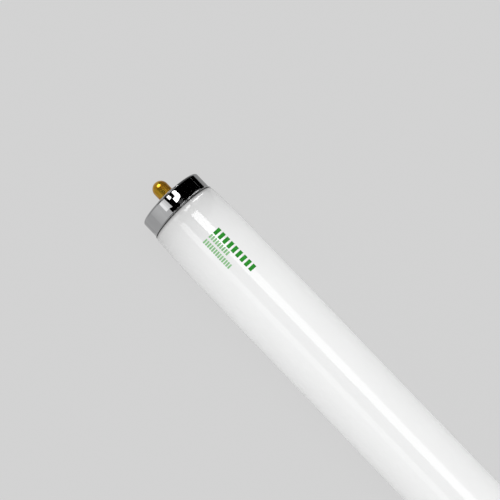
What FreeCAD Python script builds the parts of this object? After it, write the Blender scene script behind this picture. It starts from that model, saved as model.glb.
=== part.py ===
import FreeCAD, Part
import math
import os
import Sketcher

# A straight fluorescent tube with one contact pin at each end, in millimetres.
# X runs along the tube and the origin is at its middle, on the axis.

SIZES = [
    # the glass bulb
    ("overall_length", 1477.3),
    ("glass_diameter", 38.1),
    ("shoulder_length", 30.0),
    ("shoulder_drop", 0.9),
    ("shoulder_bend_length", 1.4),
    ("shoulder_bend_drop", 0.3),
    ("shoulder_bend_radius", 5.0),
    ("shoulder_edge_length", 0.6),
    ("shoulder_edge_drop", 0.85),
    ("neck_step", 0.7),
    ("neck_reach", 6.2),
    ("seal_chamfer", 0.4),
    ("stem_depth", 22.0),
    ("exhaust_diameter", 4.6),
    ("exhaust_length", 12.0),
    # the metal shell of each cap
    ("metal_thickness", 0.4),
    ("mouth_clearance", 0.05),
    ("skirt_length", 9.55),
    ("lip_length", 0.9),
    ("lip_flare", 0.5),
    ("corner_bend", 0.6),
    ("boss_land", 2.9),
    ("boss_height", 1.6),
    ("boss_top_bend", 0.25),
    ("boss_root_bend", 0.5),
    # the insulating bush
    ("insulation_gap", 2.3),
    ("seat_clearance", 0.05),
    ("bush_chamfer", 0.35),
    ("bush_flange_width", 4.2),
    ("bush_flange_thickness", 1.2),
    # the contact pin
    ("pin_diameter", 8.2),
    ("pin_reach", 8.9),
    ("pin_wall", 0.5),
    ("pin_shoulder", 0.7),
    ("pin_edge_chamfer", 0.2),
    ("pin_flange_width", 1.9),
    ("pin_flange_thickness", 0.5),
    ("pin_mouth_flare", 0.8),
    # the basing cement
    ("cement_recess", 1.2),
    # the lead wires
    ("lead_diameter", 0.6),
    ("lead_gap", 1.1),
    ("lead_bend_radius", 6.0),
    ("lead_run_in", 0.6),
    ("lead_end_gap", 0.8),
]

# Radii that pieces share, worked out from the axis outwards.
PIN = "(sizes.pin_diameter / 2)"
SHANK = f"({PIN} - sizes.pin_shoulder)"
SHANK_BORE = f"({SHANK} - sizes.pin_wall)"
OPENING = f"({PIN} + sizes.insulation_gap)"
BOSS = f"({OPENING} + sizes.boss_land)"
GLASS = "(sizes.glass_diameter / 2)"
GLASS_MOUTH = f"({GLASS} - sizes.shoulder_drop)"
GLASS_AT_BEND = f"({GLASS_MOUTH} - sizes.shoulder_bend_drop)"
GLASS_AT_RIM = f"({GLASS_AT_BEND} - sizes.shoulder_edge_drop)"
NECK = f"({GLASS_AT_RIM} - sizes.neck_step)"
SHELL_BORE = f"({GLASS_AT_RIM} + sizes.mouth_clearance)"
SKIRT = f"({SHELL_BORE} + sizes.metal_thickness)"
LEAD = "(sizes.lead_diameter / 2)"
LEAD_AT_STEM = f"(sizes.exhaust_diameter / 2 + sizes.lead_gap + {LEAD})"
LEAD_IN_PIN = f"({SHANK_BORE} - sizes.seat_clearance - {LEAD})"
STEM_BORE = f"({LEAD_AT_STEM} + {LEAD} + sizes.lead_gap)"

# Places along a cap, outwards from the plane of the shell's rim.
END_WALL = "sizes.skirt_length"
BOSS_TOP = "(sizes.skirt_length + sizes.boss_height)"
TIP = f"({BOSS_TOP} + sizes.pin_reach)"
END_WALL_INSIDE = f"({END_WALL} - sizes.metal_thickness)"
BOSS_TOP_INSIDE = f"({BOSS_TOP} - sizes.metal_thickness)"
BUSH_BACK = f"({END_WALL_INSIDE} - sizes.bush_flange_thickness)"
PIN_BACK = f"({BUSH_BACK} - sizes.pin_flange_thickness)"
STEM_FLOOR = "(sizes.neck_reach - sizes.stem_depth)"

# Where the rim of each shell lies, from the middle of the tube.
RIM = f"(sizes.overall_length / 2 - {TIP})"

SIDES = (("left", -1), ("right", 1))
ROWS = (("front", -1), ("rear", 1))


def fill_sheet(doc):
    """Put each driving size in a cell of its own, under its name."""
    sheet = doc.addObject("Spreadsheet::Sheet", "sizes")
    for row, (name, value) in enumerate(SIZES, start=1):
        sheet.set(f"A{row}", name)
        sheet.set(f"B{row}", str(value))
        sheet.setAlias(f"B{row}", name)
    doc.recompute()


def new_body(doc, name):
    body = doc.addObject("PartDesign::Body", name)
    body.Label = name
    return body


def origin_plane(body, role):
    return next(o for o in body.Origin.OriginFeatures if o.Role == role)


def new_sketch(body, name, role="XY_Plane"):
    sketch = body.newObject("Sketcher::SketchObject", name)
    sketch.AttachmentSupport = (origin_plane(body, role), [""])
    sketch.MapMode = "FlatFace"
    return sketch


def arc_between(a, b, radius, turn):
    """The short arc from a to b. A turn of 1 is anticlockwise and of -1 clockwise."""
    chord = b - a
    half = chord.Length / 2
    rise = math.sqrt(max(radius**2 - half**2, 0.0))
    across = FreeCAD.Vector(-chord.y, chord.x, 0) / chord.Length
    centre = (a + b) / 2 + across * rise * turn
    first, last = (a, b) if turn > 0 else (b, a)
    start = math.atan2(first.y - centre.y, first.x - centre.x)
    end = math.atan2(last.y - centre.y, last.x - centre.x)
    circle = Part.Circle(centre, FreeCAD.Vector(0, 0, 1), radius)
    return Part.ArcOfCircle(circle, start, end)


def bind(sketch, constraint, expression):
    index = sketch.addConstraint(constraint)
    sketch.setExpression(f"Constraints[{index}]", expression)


def place_point(sketch, edge, end, x, y):
    """Tie one end of an edge to the sketch's origin by two expressions."""
    if x == "0":
        sketch.addConstraint(Sketcher.Constraint("PointOnObject", edge, end, -2))
    else:
        value = float(sketch.evalExpression(x))
        bind(sketch, Sketcher.Constraint("DistanceX", -1, 1, edge, end, value), x)
    if y == "0":
        sketch.addConstraint(Sketcher.Constraint("PointOnObject", edge, end, -1))
    else:
        value = float(sketch.evalExpression(y))
        bind(sketch, Sketcher.Constraint("DistanceY", -1, 1, edge, end, value), y)


def draw(sketch, corners, closed=True):
    """Join the corners in order, with a line or with an arc.

    A corner is (x, y), or (x, y, radius, turn) where an arc leads to the next one.
    """
    points = []
    for corner in corners:
        x, y = (float(sketch.evalExpression(text)) for text in corner[:2])
        points.append(FreeCAD.Vector(x, y, 0))
    last = len(corners) if closed else len(corners) - 1
    ends = []
    for i in range(last):
        a, b = points[i], points[(i + 1) % len(points)]
        if len(corners[i]) == 2:
            edge = sketch.addGeometry(Part.LineSegment(a, b))
            ends.append((edge, 1, 2))
            continue
        radius, turn = corners[i][2:]
        size = float(sketch.evalExpression(radius))
        edge = sketch.addGeometry(arc_between(a, b, size, turn))
        ends.append((edge, 1, 2) if turn > 0 else (edge, 2, 1))
        bind(sketch, Sketcher.Constraint("Radius", edge, size), radius)
    for i in range(last):
        edge, start, end = ends[i]
        place_point(sketch, edge, start, *corners[i][:2])
        following = (i + 1) % len(corners)
        if following < last:
            joined = Sketcher.Constraint("Coincident", edge, end, ends[following][0], ends[following][1])
            sketch.addConstraint(joined)
        else:
            place_point(sketch, edge, end, *corners[following][:2])


def turn(doc, name, corners):
    """A body turned from its half section about the X axis."""
    body = new_body(doc, name)
    sketch = new_sketch(body, name + "_section")
    draw(sketch, corners)
    solid = body.newObject("PartDesign::Revolution", name + "_turned")
    solid.Profile = sketch
    solid.ReferenceAxis = (sketch, ["H_Axis"])
    solid.Angle = 360
    return body


def put_at_end(body, side):
    """Move a piece drawn from the rim outwards to its end of the tube."""
    half_turn = 0 if side > 0 else 180
    body.Placement.Rotation = FreeCAD.Rotation(FreeCAD.Vector(0, 0, 1), half_turn)
    body.setExpression("Placement.Base.x", f"{side} * {RIM}")
    return body


def glass_tube(doc):
    """The sealed bulb: half is turned, with its neck, seal and stem, and then mirrored.

    Towards each cap the glass narrows in a long sweep, a bend and a tight edge.
    """
    shoulder = f"({RIM} - sizes.shoulder_length)"
    edge, edge_drop = "sizes.shoulder_edge_length", "sizes.shoulder_edge_drop"
    edge_round = f"(({edge} ^ 2 + {edge_drop} ^ 2) / (2 * {edge}))"
    mouth = f"({edge} + sizes.shoulder_bend_length)"
    run = f"(sizes.shoulder_length - {mouth})"
    sweep = f"(({run} ^ 2 + sizes.shoulder_drop ^ 2) / (2 * sizes.shoulder_drop))"
    neck_end = f"({RIM} + sizes.neck_reach)"
    chamfer = "sizes.seal_chamfer"
    stem = f"({RIM} + {STEM_FLOOR})"
    exhaust = "(sizes.exhaust_diameter / 2)"
    corners = [
        ("0", "0"),
        ("0", GLASS),
        (shoulder, GLASS, sweep, -1),
        (f"{RIM} - {mouth}", GLASS_MOUTH, "sizes.shoulder_bend_radius", -1),
        (f"{RIM} - {edge}", GLASS_AT_BEND, edge_round, -1),
        (RIM, GLASS_AT_RIM),
        (f"{RIM} + sizes.neck_step", NECK),
        (f"{neck_end} - {chamfer}", NECK),
        (neck_end, f"{NECK} - {chamfer}"),
        (neck_end, f"{NECK} - 2 * {chamfer}"),
        (f"{neck_end} - {chamfer}", f"{NECK} - 3 * {chamfer}"),
        (stem, STEM_BORE),
        (stem, exhaust),
        (f"{stem} + sizes.exhaust_length - {exhaust}", exhaust, exhaust, -1),
        (f"{stem} + sizes.exhaust_length", "0"),
    ]
    body = turn(doc, "glass_tube", corners)
    mirrored = body.newObject("PartDesign::Mirrored", "glass_tube_both_ends")
    mirrored.Originals = [doc.getObject("glass_tube_turned")]
    mirrored.MirrorPlane = (origin_plane(body, "YZ_Plane"), [""])
    body.Tip = mirrored
    return body


def cap_shell(doc, name, side):
    """A drawn cup of thin metal: flared lip, skirt, bent corner, end wall and raised boss.

    The bends are round outside and flat inside.
    """
    metal = "sizes.metal_thickness"
    rise, reach = "sizes.lip_flare", "sizes.lip_length"
    flare = f"(({reach} ^ 2 + {rise} ^ 2) / (2 * {rise}))"
    lip_inside = f"{SKIRT} + {flare} - sqrt(({flare} + {metal}) ^ 2 - {reach} ^ 2)"
    corner = f"(sizes.corner_bend + {metal})"
    top = f"(sizes.boss_top_bend + {metal})"
    root = "sizes.boss_root_bend"
    corners = [
        ("0", f"{SKIRT} + {rise}", flare, 1),
        (reach, SKIRT),
        (f"{END_WALL} - {corner}", SKIRT, corner, -1),
        (END_WALL, f"{SKIRT} - {corner}"),
        (END_WALL, f"{BOSS} + {root}", root, 1),
        (f"{END_WALL} + {root}", BOSS),
        (f"{BOSS_TOP} - {top}", BOSS, top, -1),
        (BOSS_TOP, f"{BOSS} - {top}"),
        (BOSS_TOP, OPENING),
        (BOSS_TOP_INSIDE, OPENING),
        (BOSS_TOP_INSIDE, f"{BOSS} - {top}"),
        (f"{BOSS_TOP} - {top}", f"{BOSS} - {metal}"),
        (END_WALL_INSIDE, f"{BOSS} - {metal}"),
        (END_WALL_INSIDE, f"{SKIRT} - {corner}"),
        (f"{END_WALL} - {corner}", SHELL_BORE),
        (reach, SHELL_BORE, f"{flare} + {metal}", -1),
        ("0", lip_inside),
    ]
    return put_at_end(turn(doc, name, corners), side)


def insulator(doc, name, side):
    """A moulded bush: a collar in the shell's opening, a body in the boss and a flange."""
    bore = f"({SHANK} + sizes.seat_clearance)"
    collar = f"({OPENING} - sizes.seat_clearance)"
    in_boss = f"({BOSS} - sizes.metal_thickness - sizes.seat_clearance)"
    flange = f"({BOSS} + sizes.bush_flange_width)"
    corners = [
        (BUSH_BACK, bore),
        (BUSH_BACK, flange),
        (END_WALL_INSIDE, flange),
        (END_WALL_INSIDE, in_boss),
        (f"{BOSS_TOP_INSIDE} - sizes.bush_chamfer", in_boss),
        (BOSS_TOP_INSIDE, f"{in_boss} - sizes.bush_chamfer"),
        (BOSS_TOP_INSIDE, collar),
        (BOSS_TOP, collar),
        (BOSS_TOP, bore),
    ]
    return put_at_end(turn(doc, name, corners), side)


def contact_pin(doc, name, side):
    """A hollow drawn pin: domed nose, barrel, shank through the bush and rolled flange."""
    wall = "sizes.pin_wall"
    edge = "sizes.pin_edge_chamfer"
    mouth = "sizes.pin_mouth_flare"
    dome = f"({TIP} - {PIN})"
    bore = f"({PIN} - {wall})"
    flange = f"({SHANK} + sizes.pin_flange_width)"
    corners = [
        (BUSH_BACK, SHANK),
        (BUSH_BACK, flange),
        (PIN_BACK, flange),
        (PIN_BACK, f"{SHANK_BORE} + {mouth}"),
        (f"{PIN_BACK} + {mouth}", SHANK_BORE),
        (f"{BOSS_TOP} + {wall}", SHANK_BORE),
        (f"{BOSS_TOP} + {wall}", bore),
        (dome, bore, bore, -1),
        (f"{TIP} - {wall}", "0"),
        (TIP, "0", PIN, 1),
        (dome, PIN),
        (f"{BOSS_TOP} + {edge}", PIN),
        (BOSS_TOP, f"{PIN} - {edge}"),
        (BOSS_TOP, SHANK),
    ]
    return put_at_end(turn(doc, name, corners), side)


def cement_ring(doc, name, side):
    """The ring of cement that fills the space between the shell and the glass neck."""
    inside = f"({NECK} + sizes.seat_clearance)"
    outside = f"({SHELL_BORE} - sizes.seat_clearance)"
    back = "sizes.neck_reach - sizes.seal_chamfer"
    corners = [
        ("sizes.cement_recess", inside),
        ("sizes.cement_recess", outside),
        (back, outside),
        (back, inside),
    ]
    return put_at_end(turn(doc, name, corners), side)


def lead_wire(doc, name, side, row):
    """A wire out of the glass stem, bent once each way and run along the pin's bore."""
    bend = "sizes.lead_bend_radius"
    drop = f"({LEAD_AT_STEM} - {LEAD_IN_PIN})"
    half_run = f"sqrt({bend} * {drop} - {drop} ^ 2 / 4)"
    bend_end = f"({PIN_BACK} - sizes.lead_run_in - {STEM_FLOOR})"
    end = f"({TIP} - {PIN} - sizes.lead_end_gap - {STEM_FLOOR})"
    corners = [
        ("0", "0"),
        (f"{bend_end} - 2 * {half_run}", "0", bend, -1),
        (f"{bend_end} - {half_run}", f"-{drop} / 2", bend, 1),
        (bend_end, f"-{drop}"),
        (end, f"-{drop}"),
    ]
    body = new_body(doc, name)
    path = new_sketch(body, name + "_path")
    draw(path, corners, closed=False)
    section = new_sketch(body, name + "_section", "YZ_Plane")
    circle = Part.Circle(FreeCAD.Vector(), FreeCAD.Vector(0, 0, 1), float(section.evalExpression(LEAD)))
    edge = section.addGeometry(circle)
    section.addConstraint(Sketcher.Constraint("Coincident", edge, 3, -1, 1))
    bind(section, Sketcher.Constraint("Radius", edge, circle.Radius), LEAD)
    pipe = body.newObject("PartDesign::AdditivePipe", name + "_swept")
    pipe.Profile = section
    pipe.Spine = path
    end_turn = FreeCAD.Rotation(FreeCAD.Vector(0, 0, 1), 0 if side > 0 else 180)
    row_turn = FreeCAD.Rotation(FreeCAD.Vector(1, 0, 0), 0 if row == side else 180)
    body.Placement.Rotation = end_turn.multiply(row_turn)
    body.setExpression("Placement.Base.x", f"{side} * ({RIM} + {STEM_FLOOR})")
    body.setExpression("Placement.Base.y", f"{row} * {LEAD_AT_STEM}")
    return body


def check(doc, pieces):
    """Stop if a feature failed or a piece isn't one sound solid."""
    failed = [o.Name for o in doc.Objects if "Invalid" in o.State or "Error" in o.State]
    if failed:
        raise RuntimeError(f"features that failed: {failed}")
    for piece in pieces:
        shape = piece.Shape
        if shape.isNull() or not shape.isValid() or len(shape.Solids) != 1:
            raise RuntimeError(f"{piece.Label} isn't one sound solid")


def main():
    doc = FreeCAD.newDocument("fluorescent_tube")
    fill_sheet(doc)
    pieces = [glass_tube(doc)]
    for end, side in SIDES:
        pieces.append(cap_shell(doc, f"{end}_cap_shell", side))
        pieces.append(insulator(doc, f"{end}_insulator", side))
        pieces.append(contact_pin(doc, f"{end}_contact_pin", side))
        pieces.append(cement_ring(doc, f"{end}_cement_ring", side))
        for place, row in ROWS:
            pieces.append(lead_wire(doc, f"{end}_{place}_lead", side, row))
    doc.recompute()
    check(doc, pieces)
    os.makedirs("parts", exist_ok=True)
    for piece in pieces:
        piece.Shape.exportStep(f"parts/{piece.Label}.step")


main()
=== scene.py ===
import math

import bmesh
import bpy
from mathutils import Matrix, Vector


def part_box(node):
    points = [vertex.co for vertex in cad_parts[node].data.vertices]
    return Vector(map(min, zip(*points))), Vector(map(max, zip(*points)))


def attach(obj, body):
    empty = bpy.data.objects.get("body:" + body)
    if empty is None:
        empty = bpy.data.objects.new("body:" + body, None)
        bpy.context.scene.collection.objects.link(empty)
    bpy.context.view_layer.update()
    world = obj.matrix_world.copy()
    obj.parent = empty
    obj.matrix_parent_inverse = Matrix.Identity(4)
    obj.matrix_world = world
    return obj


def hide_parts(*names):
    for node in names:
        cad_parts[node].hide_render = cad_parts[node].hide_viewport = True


# The looks of a straight fluorescent tube, in metres, in the frame of its solids.
# X runs along the tube, and a place along a cap is measured from the shell's rim outwards.

MM = 0.001

# the metal shell
METAL = 0.4 * MM
SKIRT_LENGTH = 9.55 * MM
LIP_LENGTH = 0.9 * MM
LIP_FLARE = 0.5 * MM
CORNER_REACH = 1.0 * MM
BOSS_RADIUS = 9.3 * MM
BOSS_HEIGHT = 1.6 * MM
BOSS_TOP_REACH = 0.65 * MM
BOSS_ROOT_REACH = 0.5 * MM
OPENING_RADIUS = 6.4 * MM
CUT_EDGE = 0.06 * MM

# the glass
SHOULDER_LENGTH = 30.0 * MM
SHOULDER_DROP = 0.9 * MM
BEND_LENGTH = 1.4 * MM
BEND_DROP = 0.3 * MM
BEND_RADIUS = 5.0 * MM
EDGE_LENGTH = 0.6 * MM
EDGE_DROP = 0.85 * MM
NECK_STEP = 0.7 * MM
NECK_REACH = 6.2 * MM
SEAL_REACH = 0.4 * MM
STEM_DEPTH = 22.0 * MM
STEM_RADIUS = 4.3 * MM
EXHAUST_RADIUS = 2.3 * MM
EXHAUST_LENGTH = 12.0 * MM
MOUTH_CLEARANCE = 0.05 * MM

# the contact pin
PIN_RADIUS = 4.1 * MM
PIN_REACH = 8.9 * MM
PIN_WALL = 0.5 * MM
PIN_SHOULDER = 0.7 * MM
PIN_EDGE = 0.2 * MM
PIN_FLANGE = 0.5 * MM
PIN_MOUTH = 0.8 * MM

# the printed mark: its lines run along the tube, starting this far from the left rim
MARK_START = 19.75 * MM
INK_DEPTH = 0.02 * MM
INK_HEIGHT = 0.02 * MM

# how far from the caps the glass changes its tone, and how far its painted shadow reaches where it goes
# under the lip
FADE_LENGTH = 60.0 * MM
GROOVE_SHADOW_LENGTH = 2.2 * MM

# how finely round forms are divided
ROUND_STEPS = 256
BEND_STEPS = 8
EDGE_STEPS = 14
SWEEP_STEPS = 24
DOME_STEPS = 20
INK_CELL = 1.5 * MM
INK_STEPS_ACROSS = 6
CARD_STEP_DEGREES = 4
GUARD = 0.03 * MM
ON_AXIS = 1e-9
SHARP_ANGLE = math.radians(32)

# the camera: it looks down on the left end
CAMERA_AZIMUTH = math.radians(46.6)
CAMERA_ELEVATION = math.radians(79.0)
CAMERA_DISTANCE = 1.4
CAMERA_LENS = 209.65
AIM_RIGHT = 0.0322
AIM_UP = -0.0182

# the studio: places along it count from a point on the axis, this far behind the left tip
SET_BACK = 19.7 * MM
FLOOR_SIZE = 30.0
FLOOR_CARD_LIFT = 0.5 * MM

# how far from the tube's axis the reflectors stand
FAR = 0.5
ASIDE = 0.2
NEAR = 0.075
WINDOWS = NEAR - 0.4 * MM
MASK = NEAR - 0.8 * MM

# edges that reflectors share: places along the studio in mm
STUDIO_ENDS = (-1600, 1600)
GLASS_BEGINS = -45
SIDE_ENDS = -143
OUTER_END = -400
PIN_TIP = -150
PIN_NOSE = -50
PIN_SHANK = -30
PIN_FOOT = -23
CAP_END = -20.5
SKIRT_END = -8.9

# edges that reflectors share: angles in degrees from +Z towards +Y
PIN_LEFT = -48
PIN_MIDDLE = 10.7
PIN_RIGHT = 40
SKIRT_LEFT = -28.5
SKIRT_RIGHT = 27.9
STRIP_EDGES = (4, 27.7)
LOW_STRIP_EDGES = (-43, -25)

# brightness: what the camera sees behind the tube, what gloss mirrors, and what lights the rest
WHITE = (1, 1, 1, 1)
BACKDROP = 0.638
AMBIENT = 0.75
MIRRORED_LEVEL = 0.59
MIRRORED_OVERHEAD = 0.83
MIRRORED_FLOOR = 0.53
FLOOR_COLOUR = (0.86, 0.86, 0.86, 1)
FLOOR_SHADOW = 0.04

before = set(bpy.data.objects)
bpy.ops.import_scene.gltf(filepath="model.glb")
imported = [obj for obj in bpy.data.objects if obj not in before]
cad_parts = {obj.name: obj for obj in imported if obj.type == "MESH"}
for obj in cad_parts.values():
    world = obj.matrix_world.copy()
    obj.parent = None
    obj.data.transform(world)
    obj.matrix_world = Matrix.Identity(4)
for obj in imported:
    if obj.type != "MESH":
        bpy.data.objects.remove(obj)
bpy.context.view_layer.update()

GLASS_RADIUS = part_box("glass_tube")[1].y
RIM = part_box("right_cap_shell")[0].x
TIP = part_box("right_contact_pin")[1].x - RIM
PIN_FLANGE_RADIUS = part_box("right_contact_pin")[1].y
BUSH_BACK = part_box("right_insulator")[0].x - RIM
STUDIO_X = SET_BACK - RIM - TIP
SWEEP_LENGTH = SHOULDER_LENGTH - BEND_LENGTH - EDGE_LENGTH
SWEEP_RADIUS = (SWEEP_LENGTH ** 2 + SHOULDER_DROP ** 2) / (2 * SHOULDER_DROP)
SIDES = {"left": -1, "right": 1}


# Meshes

def arc_points(here, back, on, reach, steps):
    """A true arc between two straight lines, as a rational curve with the corner as its middle point."""
    start = here + back * reach
    end = here + on * reach
    weight = math.sin(back.angle(on) / 2)
    points = []
    for k in range(steps + 1):
        f = k / steps
        a, b, c = (1 - f) ** 2, 2 * weight * f * (1 - f), f ** 2
        points.append((start * a + here * b + end * c) / (a + b + c))
    return points


def rounded(corners):
    """The points of an outline.

    A corner is its two coordinates, and then an arc's reach where the arc starts and ends
    that far from it. A point just outside each arc keeps the stretch beside it truly flat.
    """
    points = []
    count = len(corners)
    for i, corner in enumerate(corners):
        here = Vector(corner[:2])
        if len(corner) == 2:
            points.append(here)
            continue
        reach = corner[2]
        back = (Vector(corners[i - 1][:2]) - here).normalized()
        on = (Vector(corners[(i + 1) % count][:2]) - here).normalized()
        points.append(here + back * (reach + GUARD))
        points.extend(arc_points(here, back, on, reach, BEND_STEPS))
        points.append(here + on * (reach + GUARD))
    return points


def arc_between(start, end, radius, steps):
    """Points of the arc that bulges away from the axis, without its first one."""
    chord = end - start
    rise = math.sqrt(radius ** 2 - chord.length_squared / 4)
    centre = (start + end) / 2 + Vector((chord.y, -chord.x)).normalized() * rise
    first, last = start - centre, end - centre
    low = math.atan2(first.y, first.x)
    high = math.atan2(last.y, last.x)
    angles = [low + (high - low) * k / steps for k in range(1, steps + 1)]
    return [centre + radius * Vector((math.cos(a), math.sin(a))) for a in angles]


def dome(centre, radius):
    """A quarter circle from its side to its tip, which lies on the axis."""
    angles = [math.pi / 2 * k / DOME_STEPS for k in range(DOME_STEPS + 1)]
    points = [Vector((centre + radius * math.sin(a), radius * math.cos(a))) for a in angles]
    points[-1].y = 0.0
    return points


def at_end(points, side):
    """Move an outline from the rim of a shell to that end of the tube."""
    return [Vector((side * (RIM + p.x), p.y)) for p in points]


def new_object(name, bm):
    mesh = bpy.data.meshes.new(name)
    bm.to_mesh(mesh)
    bm.free()
    made = bpy.data.objects.new(name, mesh)
    bpy.context.scene.collection.objects.link(made)
    return made


def turned(name, outline, closed):
    """Turn an outline about the X axis. A point on the axis becomes a pole."""
    bm = bmesh.new()
    rings = []
    for p in outline:
        if p.y < ON_AXIS:
            rings.append([bm.verts.new((p.x, 0, 0))])
            continue
        angles = [2 * math.pi * k / ROUND_STEPS for k in range(ROUND_STEPS)]
        rings.append([bm.verts.new((p.x, p.y * math.cos(a), p.y * math.sin(a))) for a in angles])
    last = len(rings) if closed else len(rings) - 1
    for i in range(last):
        a, b = rings[i], rings[(i + 1) % len(rings)]
        for k in range(ROUND_STEPS):
            following = (k + 1) % ROUND_STEPS
            corners = [a[k % len(a)], b[k % len(b)], b[following % len(b)], a[following % len(a)]]
            bm.faces.new(list(dict.fromkeys(corners)))
    bmesh.ops.recalc_face_normals(bm, faces=bm.faces)
    made = new_object(name, bm)
    made.data.shade_smooth()
    made.data.set_sharp_from_angle(angle=SHARP_ANGLE)
    return made


def glass_half():
    """The outline of the right half, from the shoulder to the tip of the exhaust tube.

    Towards the cap the glass narrows in a long sweep, a bend and a tight edge.
    """
    shoulder = Vector((-SHOULDER_LENGTH, GLASS_RADIUS))
    bend = Vector((-EDGE_LENGTH - BEND_LENGTH, GLASS_RADIUS - SHOULDER_DROP))
    edge = Vector((-EDGE_LENGTH, bend.y - BEND_DROP))
    rim = Vector((0, edge.y - EDGE_DROP))
    edge_radius = (EDGE_LENGTH ** 2 + EDGE_DROP ** 2) / (2 * EDGE_LENGTH)
    bulb = [shoulder - Vector((GUARD, 0)), shoulder]
    bulb += arc_between(shoulder, bend, SWEEP_RADIUS, SWEEP_STEPS)
    bulb += arc_between(bend, edge, BEND_RADIUS, BEND_STEPS)
    bulb += arc_between(edge, rim, edge_radius, EDGE_STEPS)
    neck = rim.y - NECK_STEP
    stem = NECK_REACH - STEM_DEPTH
    seal = rounded([
        (0, rim.y),
        (NECK_STEP, neck),
        (NECK_REACH, neck, SEAL_REACH),
        (NECK_REACH, neck - 3 * SEAL_REACH, SEAL_REACH),
        (stem, STEM_RADIUS, SEAL_REACH),
        (stem, EXHAUST_RADIUS),
    ])
    tip = dome(stem + EXHAUST_LENGTH - EXHAUST_RADIUS, EXHAUST_RADIUS)
    return bulb + seal[1:] + tip


def glass_bulb():
    half = glass_half()
    left = at_end(half, -1)
    right = at_end(half, 1)
    return turned("glass_bulb", left[::-1] + right, closed=False)


def cap_shell(side_name):
    """The drawn shell: flared lip, skirt, bent corner, end wall and raised boss."""
    bore = GLASS_RADIUS - SHOULDER_DROP - BEND_DROP - EDGE_DROP + MOUTH_CLEARANCE
    skirt = bore + METAL
    boss_top = SKIRT_LENGTH + BOSS_HEIGHT
    outer = (LIP_LENGTH ** 2 + LIP_FLARE ** 2) / (2 * LIP_FLARE)
    inner = outer + METAL
    outer_reach = outer * math.tan(math.asin(LIP_LENGTH / outer) / 2)
    inner_reach = inner * math.tan(math.asin(LIP_LENGTH / inner) / 2)
    inside_lip = skirt + outer - math.sqrt(inner ** 2 - LIP_LENGTH ** 2)
    spare = CUT_EDGE + 3 * GUARD
    corners = [
        (0, skirt + LIP_FLARE, CUT_EDGE),
        (LIP_LENGTH - outer_reach, skirt, outer_reach - spare),
        (SKIRT_LENGTH, skirt, CORNER_REACH),
        (SKIRT_LENGTH, BOSS_RADIUS, BOSS_ROOT_REACH),
        (boss_top, BOSS_RADIUS, BOSS_TOP_REACH),
        (boss_top, OPENING_RADIUS, CUT_EDGE),
        (boss_top - METAL, OPENING_RADIUS, CUT_EDGE),
        (boss_top - METAL, BOSS_RADIUS - METAL, BOSS_TOP_REACH - METAL),
        (SKIRT_LENGTH - METAL, BOSS_RADIUS - METAL),
        (SKIRT_LENGTH - METAL, bore, CORNER_REACH - METAL),
        (LIP_LENGTH - inner_reach, bore, inner_reach - spare),
        (0, inside_lip, CUT_EDGE),
    ]
    outline = at_end(rounded(corners), SIDES[side_name])
    return turned(f"{side_name}_cap", outline, closed=True)


def contact_pin(side_name):
    """The hollow drawn pin, with its domed nose, its shank and the flange behind the bush."""
    shank = PIN_RADIUS - PIN_SHOULDER
    bore = shank - PIN_WALL
    root = TIP - PIN_REACH
    back = BUSH_BACK - PIN_FLANGE
    centre = TIP - PIN_RADIUS
    inner = dome(centre, PIN_RADIUS - PIN_WALL)
    outer = dome(centre, PIN_RADIUS)
    between = rounded([
        (root, shank),
        (BUSH_BACK, shank),
        (BUSH_BACK, PIN_FLANGE_RADIUS, CUT_EDGE),
        (back, PIN_FLANGE_RADIUS, CUT_EDGE),
        (back, bore + PIN_MOUTH),
        (back + PIN_MOUTH, bore),
        (root + PIN_WALL, bore),
        (root + PIN_WALL, PIN_RADIUS - PIN_WALL),
    ])
    edge = rounded([(centre, PIN_RADIUS), (root, PIN_RADIUS, PIN_EDGE), (root, shank)])[:-1]
    edge[0].x -= GUARD
    outline = outer[::-1] + edge + between + inner
    return turned(f"{side_name}_pin", at_end(outline, SIDES[side_name]), closed=False)


def glass_surface(distance):
    """The radius of the glass at a distance from the rim, inwards."""
    into = max(SHOULDER_LENGTH - distance, 0)
    return GLASS_RADIUS - SWEEP_RADIUS + math.sqrt(SWEEP_RADIUS ** 2 - into ** 2)


def ink_patch(bm, start, length, low_angle, high_angle):
    """A thin closed patch of ink that follows the glass. Angles run from +Z towards +Y."""
    along = max(2, round(length / INK_CELL))
    across = INK_STEPS_ACROSS
    levels = []
    for lift in (-INK_DEPTH, INK_HEIGHT):
        grid = []
        for i in range(along + 1):
            distance = start + length * i / along
            radius = glass_surface(distance) + lift
            x = -RIM + distance
            turns = [low_angle + (high_angle - low_angle) * k / across for k in range(across + 1)]
            grid.append([bm.verts.new((x, radius * math.sin(a), radius * math.cos(a))) for a in turns])
        levels.append(grid)
    bottom, top = levels
    for i in range(along):
        for k in range(across):
            for grid in levels:
                bm.faces.new((grid[i][k], grid[i][k + 1], grid[i + 1][k + 1], grid[i + 1][k]))
    for i in range(along):
        for k in (0, across):
            bm.faces.new((bottom[i][k], bottom[i + 1][k], top[i + 1][k], top[i][k]))
    for k in range(across):
        for i in (0, along):
            bm.faces.new((bottom[i][k], bottom[i][k + 1], top[i][k + 1], top[i][k]))


def mark_line(name, bars, pitch, width, low, high):
    """A row of plain bars of one width along the tube, between two angles in degrees."""
    bm = bmesh.new()
    for i in range(bars):
        ink_patch(bm, MARK_START + i * pitch, width, math.radians(low), math.radians(high))
    bmesh.ops.recalc_face_normals(bm, faces=bm.faces)
    return new_object(name, bm)


def printed_mark():
    """A generic mark: one row of solid blocks over two rows of fine ticks."""
    return [
        mark_line("mark_blocks", bars=9, pitch=3.0 * MM, width=1.9 * MM, low=3.6, high=15.2),
        mark_line("mark_upper_ticks", bars=9, pitch=1.45 * MM, width=0.95 * MM, low=-5.6, high=1.6),
        mark_line("mark_lower_ticks", bars=13, pitch=1.4 * MM, width=0.9 * MM, low=-17.0, high=-9.2),
    ]


# Materials

def new_material(name):
    material = bpy.data.materials.new(name)
    material.use_nodes = True
    return material


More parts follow.
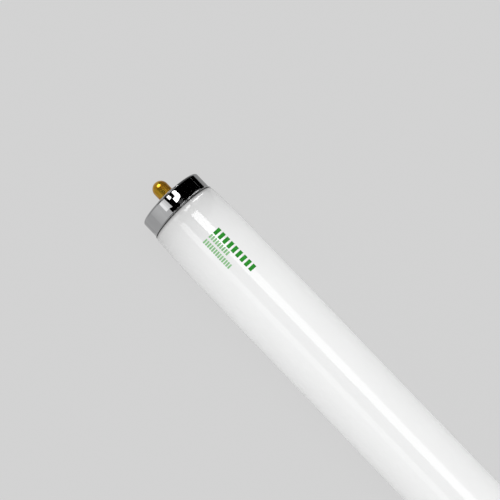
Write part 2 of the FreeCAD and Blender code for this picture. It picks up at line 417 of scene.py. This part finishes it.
def shader_of(material):
    return material.node_tree.nodes["Principled BSDF"]


def add_node(material, kind, **settings):
    made = material.node_tree.nodes.new(kind)
    for name, value in settings.items():
        setattr(made, name, value)
    return made


def link(material, source, target):
    material.node_tree.links.new(source, target)


def object_noise(material, stretch, scale, detail=4.0, roughness=0.5):
    """Noise in the object's own coordinates, stretched along its axes."""
    place = add_node(material, "ShaderNodeTexCoord")
    mapping = add_node(material, "ShaderNodeMapping")
    mapping.inputs["Scale"].default_value = stretch
    noise = add_node(material, "ShaderNodeTexNoise")
    noise.inputs["Scale"].default_value = scale
    noise.inputs["Detail"].default_value = detail
    noise.inputs["Roughness"].default_value = roughness
    link(material, place.outputs["Object"], mapping.inputs["Vector"])
    link(material, mapping.outputs["Vector"], noise.inputs["Vector"])
    return noise.outputs["Fac"]


def ramp(material, source, stops):
    """A colour ramp. A stop is (place, colour), with grey written as one number."""
    made = add_node(material, "ShaderNodeValToRGB")
    elements = made.color_ramp.elements
    while len(elements) > 1:
        elements.remove(elements[-1])
    for i, (place, colour) in enumerate(stops):
        element = elements[0] if i == 0 else elements.new(place)
        element.position = place
        grey = isinstance(colour, (int, float))
        element.color = (colour, colour, colour, 1) if grey else (*colour, 1)
    link(material, source, made.inputs["Fac"])
    return made.outputs["Color"]


def multiplied(material, first, second):
    """The product of two colours."""
    mixed = add_node(material, "ShaderNodeMix", data_type="RGBA", blend_type="MULTIPLY")
    mixed.inputs["Factor"].default_value = 1.0
    colours = [s for s in mixed.inputs if s.type == "RGBA"]
    link(material, first, colours[0])
    link(material, second, colours[1])
    return next(s for s in mixed.outputs if s.type == "RGBA")


def add_bump(material, height, strength, distance):
    bump = add_node(material, "ShaderNodeBump")
    bump.inputs["Strength"].default_value = strength
    bump.inputs["Distance"].default_value = distance
    link(material, height, bump.inputs["Height"])
    link(material, bump.outputs["Normal"], shader_of(material).inputs["Normal"])


def nearness(material, length):
    """From 0, that length short of either shell's rim, to 1 at the rim."""
    place = add_node(material, "ShaderNodeTexCoord")
    parts = add_node(material, "ShaderNodeSeparateXYZ")
    link(material, place.outputs["Object"], parts.inputs[0])
    from_middle = add_node(material, "ShaderNodeMath", operation="ABSOLUTE")
    link(material, parts.outputs["X"], from_middle.inputs[0])
    part = add_node(material, "ShaderNodeMapRange")
    part.inputs["From Min"].default_value = RIM - length
    part.inputs["From Max"].default_value = RIM
    link(material, from_middle.outputs[0], part.inputs["Value"])
    return part.outputs["Result"]


def glass_colour(material):
    """White, a little greyer towards the caps, with a painted shadow as a dark line where it enters the
    shell.
    """
    shade = ramp(material, nearness(material, FADE_LENGTH), [
        (0.0, (0.838, 0.842, 0.84)),
        (0.47, (0.812, 0.815, 0.813)),
        (0.71, (0.765, 0.767, 0.766)),
        (0.85, (0.712, 0.714, 0.713)),
        (1.0, (0.6, 0.6, 0.598)),
    ])
    # painted shadow: the glass darkens almost to black at the rim, standing in for the shade in the gap
    # under the shell's lip
    painted_groove_shadow = ramp(material, nearness(material, GROOVE_SHADOW_LENGTH), [
        (0.0, 1.0),
        (0.25, 0.93),
        (0.5, 0.8),
        (0.65, 0.66),
        (0.78, 0.32),
        (0.9, 0.1),
    ])
    cloud = object_noise(material, (1, 3, 3), 40.0)
    tone = ramp(material, cloud, [(0.3, 0.985), (0.7, 1.0)])
    return multiplied(material, multiplied(material, shade, painted_groove_shadow), tone)


def coated_glass():
    """White coating seen through clear glossy glass, which mirrors more on its bend near the caps."""
    material = new_material("coated_glass")
    shader = shader_of(material)
    shader.inputs["Roughness"].default_value = 0.035
    shader.inputs["IOR"].default_value = 1.5
    sheen = ramp(material, nearness(material, FADE_LENGTH), [(0.945, 0.5), (0.957, 1.0)])
    link(material, sheen, shader.inputs["Specular IOR Level"])
    link(material, glass_colour(material), shader.inputs["Base Color"])
    ripple = object_noise(material, (1, 8, 8), 30.0, detail=2.0)
    add_bump(material, ripple, 0.02, 0.2 * MM)
    return material


def plated_cap():
    """Bright drawn metal, with faint lines round the skirt and slight haze."""
    material = new_material("plated_cap")
    shader = shader_of(material)
    shader.inputs["Metallic"].default_value = 1.0
    lines = object_noise(material, (1, 0.02, 0.02), 6000.0, detail=3.0)
    haze = object_noise(material, (1, 1, 1), 160.0)
    colour = ramp(material, haze, [(0.3, (0.54, 0.543, 0.55)), (0.7, (0.58, 0.583, 0.588))])
    rough = ramp(material, haze, [(0.3, 0.016), (0.75, 0.028)])
    link(material, colour, shader.inputs["Base Color"])
    link(material, rough, shader.inputs["Roughness"])
    add_bump(material, lines, 0.006, 0.001 * MM)
    return material


def brass_pin():
    """Golden brass with warmer and darker patches of tarnish."""
    material = new_material("brass_pin")
    shader = shader_of(material)
    shader.inputs["Metallic"].default_value = 1.0
    patches = object_noise(material, (1, 1, 1), 300.0, detail=5.0, roughness=0.6)
    colour = ramp(material, patches, [
        (0.32, (0.42, 0.155, 0.004)),
        (0.48, (0.64, 0.32, 0.010)),
        (0.68, (0.76, 0.49, 0.03)),
    ])
    rough = ramp(material, patches, [(0.3, 0.26), (0.7, 0.17)])
    link(material, colour, shader.inputs["Base Color"])
    link(material, rough, shader.inputs["Roughness"])
    shader.inputs["Coat Weight"].default_value = 0.4
    shader.inputs["Coat Roughness"].default_value = 0.2
    lines = object_noise(material, (1, 0.05, 0.05), 5000.0, detail=2.0)
    add_bump(material, lines, 0.05, 0.02 * MM)
    return material


def moulded_bush():
    """Dark brown moulded resin with fine fibres of filler."""
    material = new_material("moulded_bush")
    shader = shader_of(material)
    fibres = object_noise(material, (1, 1, 1), 900.0, detail=6.0, roughness=0.7)
    colour = ramp(material, fibres, [(0.35, (0.035, 0.016, 0.01)), (0.7, (0.11, 0.055, 0.032))])
    link(material, colour, shader.inputs["Base Color"])
    shader.inputs["Roughness"].default_value = 0.42
    add_bump(material, fibres, 0.15, 0.03 * MM)
    return material


def basing_cement():
    """Baked cement: beige, grainy and matte."""
    material = new_material("basing_cement")
    shader = shader_of(material)
    grains = object_noise(material, (1, 1, 1), 1500.0, detail=6.0, roughness=0.7)
    colour = ramp(material, grains, [(0.3, (0.42, 0.33, 0.22)), (0.7, (0.62, 0.52, 0.38))])
    link(material, colour, shader.inputs["Base Color"])
    shader.inputs["Roughness"].default_value = 0.85
    add_bump(material, grains, 0.4, 0.05 * MM)
    return material


def lead_wire():
    """Drawn nickel wire, slightly dulled."""
    material = new_material("lead_wire")
    shader = shader_of(material)
    shader.inputs["Metallic"].default_value = 1.0
    drawn = object_noise(material, (0.05, 1, 1), 4000.0, detail=3.0)
    colour = ramp(material, drawn, [(0.3, (0.5, 0.48, 0.45)), (0.7, (0.66, 0.64, 0.6))])
    link(material, colour, shader.inputs["Base Color"])
    shader.inputs["Roughness"].default_value = 0.3
    return material


def printed_ink(name, thin, solid):
    """Green ink, stamped on the glass and a little uneven between a thin and a solid tone."""
    material = new_material(name)
    shader = shader_of(material)
    density = object_noise(material, (1, 1, 1), 1400.0, detail=3.0)
    colour = ramp(material, density, [(0.35, solid), (0.75, thin)])
    link(material, colour, shader.inputs["Base Color"])
    shader.inputs["Roughness"].default_value = 0.6
    shader.inputs["Specular IOR Level"].default_value = 0.1
    return material


# Pieces

def paint(piece, material):
    piece.data.materials.clear()
    piece.data.materials.append(material)


def dress(piece, material, slot, *nodes):
    """Paint a piece, fix it to the one body, and take the place of the nodes that it replaces."""
    paint(piece, material)
    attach(piece, "root")
    if nodes:
        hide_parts(*nodes)


def caps():
    """The shell, the pin and what the cap holds, at each end. Returns the pins."""
    metal = plated_cap()
    brass = brass_pin()
    bush = moulded_bush()
    cement = basing_cement()
    wire = lead_wire()
    held = {
        "insulator": bush,
        "cement_ring": cement,
        "front_lead": wire,
        "rear_lead": wire,
    }
    pins = [contact_pin(side) for side in SIDES]
    for side, pin in zip(SIDES, pins):
        dress(cap_shell(side), metal, "plated_cap", f"{side}_cap_shell")
        dress(pin, brass, "brass_pin", f"{side}_contact_pin")
        for part, material in held.items():
            paint(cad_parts[f"{side}_{part}"], material)
    return pins


def inked_mark():
    strong = printed_ink("ink_strong", thin=(0.03, 0.33, 0.03), solid=(0.005, 0.18, 0.006))
    pale = printed_ink("ink_pale", thin=(0.34, 0.59, 0.33), solid=(0.18, 0.42, 0.17))
    for row, ink in zip(printed_mark(), (strong, pale, pale)):
        dress(row, ink, "printed_mark")


# Studio

def glow(tree, kind, strength):
    """A white light of that strength: an emission for a surface or a background for the world."""
    made = tree.nodes.new(kind)
    made.inputs["Color"].default_value = WHITE
    made.inputs["Strength"].default_value = strength
    return made.outputs[0]


def finish_tree(tree, kind, result):
    output = tree.nodes.new(kind)
    tree.links.new(result, output.inputs["Surface"])


def bare_material(name):
    material = new_material(name)
    material.node_tree.nodes.clear()
    return material


def only_in_gloss(made, strength):
    """Make a staged surface that glows in reflections and is absent everywhere else."""
    material = bare_material(made.name)
    tree = material.node_tree
    finish_tree(tree, "ShaderNodeOutputMaterial", glow(tree, "ShaderNodeEmission", strength))
    made.data.materials.append(material)
    made.visible_camera = False
    made.visible_diffuse = False
    made.visible_transmission = False
    made.visible_shadow = False


def card(name, corners, strength, radius=FAR):
    """A reflector bent round the tube's axis.

    A corner is (place, angle) or (place, angle, reach): places run in mm towards the middle,
    angles in degrees from +Z towards +Y, and an arc of that reach rounds it.
    """
    outline = [(c[0] * MM, math.radians(c[1]) * radius, *[v * MM for v in c[2:]]) for c in corners]
    bm = bmesh.new()
    bm.faces.new([bm.verts.new((p.x, p.y, 0)) for p in rounded(outline)])
    for degrees in range(-180, 180, CARD_STEP_DEGREES):
        everything = bm.verts[:] + bm.edges[:] + bm.faces[:]
        level = (0, math.radians(degrees) * radius, 0)
        bmesh.ops.bisect_plane(bm, geom=everything, plane_co=level, plane_no=(0, 1, 0))
    for v in bm.verts:
        angle = v.co.y / radius
        v.co = (STUDIO_X + v.co.x, radius * math.sin(angle), radius * math.cos(angle))
    only_in_gloss(new_object(name, bm), strength)


def band(places, angles):
    """The corners of a card that is straight on all sides."""
    first, last = places
    low, high = angles
    return [(first, low), (last, low), (last, high), (first, high)]


def floor_card(name, corners, strength):
    """A reflector that lies just above the floor. A corner is (place, y) in mm."""
    bm = bmesh.new()
    height = FLOOR_CARD_LIFT - GLASS_RADIUS
    bm.faces.new([bm.verts.new((STUDIO_X + x * MM, y * MM, height)) for x, y in corners])
    only_in_gloss(new_object(name, bm), strength)


def pin_cards():
    """What the pin mirrors, out beyond the cap's end: mostly dim, with a gap before its lamp."""
    shank = (PIN_SHANK, PIN_FOOT)
    foot = (PIN_FOOT, CAP_END)
    dim_side = (PIN_LEFT, PIN_MIDDLE)
    streak_side = (PIN_MIDDLE, PIN_RIGHT)
    both_sides = (PIN_LEFT, PIN_RIGHT)
    card("card_pin_left", band((OUTER_END, CAP_END), (-150, PIN_LEFT)), 0.4, MASK)
    card("card_pin_dark", band(shank, dim_side), 0.12, MASK)
    card("card_pin_foot", band(foot, dim_side), 0.05, MASK)
    card("card_pin_streak", band(shank, streak_side), 0.33, MASK)
    card("card_pin_low_streak", band(foot, streak_side), 0.08, MASK)
    card("card_pin_right", band((-230, CAP_END), (PIN_RIGHT, 150)), 0.1, MASK)
    card("card_pin_nose", band((PIN_NOSE, PIN_SHANK), both_sides), 0.12, MASK)
    card("card_pin_nose_left", band((PIN_TIP, PIN_NOSE), (PIN_LEFT, -32)), 0.12, MASK)
    card("card_pin_tip", band((OUTER_END, PIN_TIP), both_sides), 0.12, MASK)


def dark_cards():
    """What the skirt and the lip mirror around the windows."""
    skirt = (CAP_END, SKIRT_END)
    card("card_dark_corner", band((CAP_END, -18.3), (-26.8, SKIRT_RIGHT)), 0.0, MASK)
    card("card_dark_aside", [
        (-46, SKIRT_RIGHT),
        (-30.9, SKIRT_RIGHT),
        (-31.2, 47.7),
        (-31.9, 62),
        (-32.2, 95),
        (-46, 95),
    ], 0.0, ASIDE)
    card("card_dark_front", band(skirt, (SKIRT_LEFT, SKIRT_RIGHT)), 0.0, NEAR)
    card("card_grey_front", band(skirt, (-51.0, SKIRT_LEFT)), 0.69, NEAR)


def window_cards():
    """The windows that the skirt mirrors: a large one, a small one, and three dimmer to the left."""
    card("card_window", [
        (-12.33, -1.9),
        (-12.33, 4.0),
        (-12.71, 9.5),
        (-13.09, 15.0),
        (-13.58, 18.7),
        (-14.36, 20.2),
        (-17.06, 19.6),
        (-17.7, 17.0),
        (-17.8, 13.8),
        (-17.8, 8.1),
        (-15.19, 8.1, 0.6),
        (-14.99, -1.9),
    ], 3.2, WINDOWS)
    card("card_window_glow", [(-12.0, 1.1), (-12.0, 17.6), (-10.2, 14.5), (-10.2, 4.4)], 0.065, WINDOWS)
    card("card_small_window", [(-17.8, -11.7), (-17.8, -3.5), (-16.0, -1.5), (-15.7, -10.9)], 2.6, WINDOWS)
    card("card_low_window", band((-18, -12.8), (-40.3, -32.0)), 1.35, WINDOWS)
    card("card_low_middle", band((-18, -12.7), (-32.0, -25.8)), 1.12, WINDOWS)
    card("card_low_shade", [(-18, -25.8), (-18, -19.5), (-12.2, -17.8), (-12.7, -25.8)], 0.9, WINDOWS)


def floor_cards():
    """The tones in which the skirt's two sides and the lip mirror the floor."""
    floor_card("card_floor_dark", [(-7.5, 59), (-31, 200), (-46, 200), (-22, 59)], 0.0)
    floor_card("card_floor_right", [(-4, 25), (-9.5, 59), (-700, 59), (-700, 25)], 0.36)
    floor_card("card_floor_left", [(-30, -20), (-5.5, -20), (-5.5, -36), (-30, -36)], 0.47)


def far_cards():
    """What the glass mirrors: two long strips with a dark gap between, and a window at the side."""
    low, high = STRIP_EDGES
    along = (GLASS_BEGINS, STUDIO_ENDS[1])
    card("card_side", [(SIDE_ENDS, 38), (-560, 44), (-480, 88), (SIDE_ENDS, 87)], 6.2)
    card("card_side_fade", [(SIDE_ENDS, 43), (SIDE_ENDS, 85), (-136, 82), (-136, 47)], 4.6)
    card("card_dark_side", band((-600, SIDE_ENDS), (88, 98)), 0.0)
    card("card_dark_end", band((STUDIO_ENDS[0], -570), (24, 92)), 0.0)
    card("card_valley", band(STUDIO_ENDS, (LOW_STRIP_EDGES[1], low)), 0.0)
    card("card_glass_start", [(-132, low), (GLASS_BEGINS, low), (GLASS_BEGINS, high), (-125, high)], 6.0)
    card("card_glass_strip", band(along, STRIP_EDGES), 3.1)
    card("card_glass_low_start", band((-130, GLASS_BEGINS), LOW_STRIP_EDGES), 2.6)
    card("card_glass_low_strip", band(along, LOW_STRIP_EDGES), 1.5)


def light_path_mix(tree, seen, mirrored, other):
    """Choose a shader by the kind of ray: camera, glossy, or any other."""
    nodes, links = tree.nodes, tree.links
    path = nodes.new("ShaderNodeLightPath")
    gloss = nodes.new("ShaderNodeMixShader")
    links.new(path.outputs["Is Glossy Ray"], gloss.inputs[0])
    links.new(other, gloss.inputs[1])
    links.new(mirrored, gloss.inputs[2])
    whole = nodes.new("ShaderNodeMixShader")
    links.new(path.outputs["Is Camera Ray"], whole.inputs[0])
    links.new(gloss.outputs[0], whole.inputs[1])
    links.new(seen, whole.inputs[2])
    return whole.outputs[0]


def floor_material():
    """Pale and softly shaded to the camera, an even tone in gloss, and plain to other light."""
    material = bare_material("floor")
    tree = material.node_tree
    pale = tree.nodes.new("ShaderNodeBsdfDiffuse")
    pale.inputs["Color"].default_value = FLOOR_COLOUR
    shadowed = tree.nodes.new("ShaderNodeMixShader")
    shadowed.inputs[0].default_value = FLOOR_SHADOW
    tree.links.new(glow(tree, "ShaderNodeEmission", BACKDROP), shadowed.inputs[1])
    tree.links.new(pale.outputs[0], shadowed.inputs[2])
    mirrored = glow(tree, "ShaderNodeEmission", MIRRORED_FLOOR)
    result = light_path_mix(tree, shadowed.outputs[0], mirrored, pale.outputs[0])
    finish_tree(tree, "ShaderNodeOutputMaterial", result)
    return material


def floor():
    size = FLOOR_SIZE
    corners = [(-size, -size), (size, -size), (size, size), (-size, size)]
    bm = bmesh.new()
    bm.faces.new([bm.verts.new((x, y, -GLASS_RADIUS)) for x, y in corners])
    made = new_object("floor", bm)
    made.data.materials.append(floor_material())


def mirrored_sky(tree):
    """A background that grows brighter from level sight lines to overhead."""
    place = tree.nodes.new("ShaderNodeTexCoord")
    parts = tree.nodes.new("ShaderNodeSeparateXYZ")
    rise = tree.nodes.new("ShaderNodeMapRange")
    rise.inputs["From Min"].default_value = 0.0
    rise.inputs["From Max"].default_value = 1.0
    rise.inputs["To Min"].default_value = MIRRORED_LEVEL
    rise.inputs["To Max"].default_value = MIRRORED_OVERHEAD
    sky = tree.nodes.new("ShaderNodeBackground")
    sky.inputs["Color"].default_value = WHITE
    tree.links.new(place.outputs["Generated"], parts.inputs[0])
    tree.links.new(parts.outputs["Z"], rise.inputs["Value"])
    tree.links.new(rise.outputs["Result"], sky.inputs["Strength"])
    return sky.outputs[0]


def surroundings():
    """An even pale world: the backdrop's tone to the camera, and graded in reflections."""
    world = bpy.data.worlds.new("studio")
    world.use_nodes = True
    bpy.context.scene.world = world
    tree = world.node_tree
    tree.nodes.clear()
    seen = glow(tree, "ShaderNodeBackground", BACKDROP)
    ambient = glow(tree, "ShaderNodeBackground", AMBIENT)
    result = light_path_mix(tree, seen, mirrored_sky(tree), ambient)
    finish_tree(tree, "ShaderNodeOutputWorld", result)


def soft_light(name, place, target, size, power):
    """A rectangular lamp in metres and watts, which gloss and the camera don't see."""
    data = bpy.data.lights.new(name, "AREA")
    data.shape = "RECTANGLE"
    data.size, data.size_y = size
    data.energy = power
    made = bpy.data.objects.new(name, data)
    made.location = place
    made.rotation_euler = (Vector(target) - Vector(place)).to_track_quat("-Z", "Y").to_euler()
    made.visible_glossy = False
    made.visible_camera = False
    bpy.context.scene.collection.objects.link(made)
    return made


def nose_light(pins):
    """A lamp out beyond the left end that gives the pins, and nothing else, their highlight."""
    place = (STUDIO_X - 0.42, 0.03, 0.33)
    nose = (STUDIO_X - 30 * MM, 0, 0)
    made = soft_light("light_nose", place, nose, size=(0.3, 0.34), power=1.9)
    made.visible_glossy = True
    only = bpy.data.collections.new("pins")
    for pin in pins:
        only.objects.link(pin)
    made.light_linking.receiver_collection = only


def lights(pins):
    middle = (0, 0, 0)
    soft_light("light_above", (0, 0.3, 2.2), middle, size=(3.2, 1.6), power=22.0)
    soft_light("light_front", (0, -2.2, 1.2), middle, size=(3.2, 1.2), power=5.6)
    nose_light(pins)


def camera():
    """The photograph's view, aimed a little beside the studio's point on the axis."""
    data = bpy.data.cameras.new("camera")
    data.sensor_width = 36
    data.lens = CAMERA_LENS
    data.clip_start = 0.05
    data.clip_end = 100
    made = bpy.data.objects.new("camera", data)
    bpy.context.scene.collection.objects.link(made)
    bpy.context.scene.camera = made
    az, el = CAMERA_AZIMUTH, CAMERA_ELEVATION
    back = Vector((math.sin(az) * math.cos(el), -math.cos(az) * math.cos(el), math.sin(el)))
    right = Vector((math.cos(az), math.sin(az), 0))
    up = back.cross(right)
    target = Vector((STUDIO_X, 0, 0)) + right * AIM_RIGHT + up * AIM_UP
    made.location = target + back * CAMERA_DISTANCE
    made.rotation_euler = (-back).to_track_quat("-Z", "Y").to_euler()


def main():
    dress(glass_bulb(), coated_glass(), "coated_glass", "glass_tube")
    pins = caps()
    inked_mark()
    surroundings()
    floor()
    pin_cards()
    dark_cards()
    window_cards()
    floor_cards()
    far_cards()
    lights(pins)
    camera()
    bpy.context.scene.view_settings.view_transform = "Standard"


main()
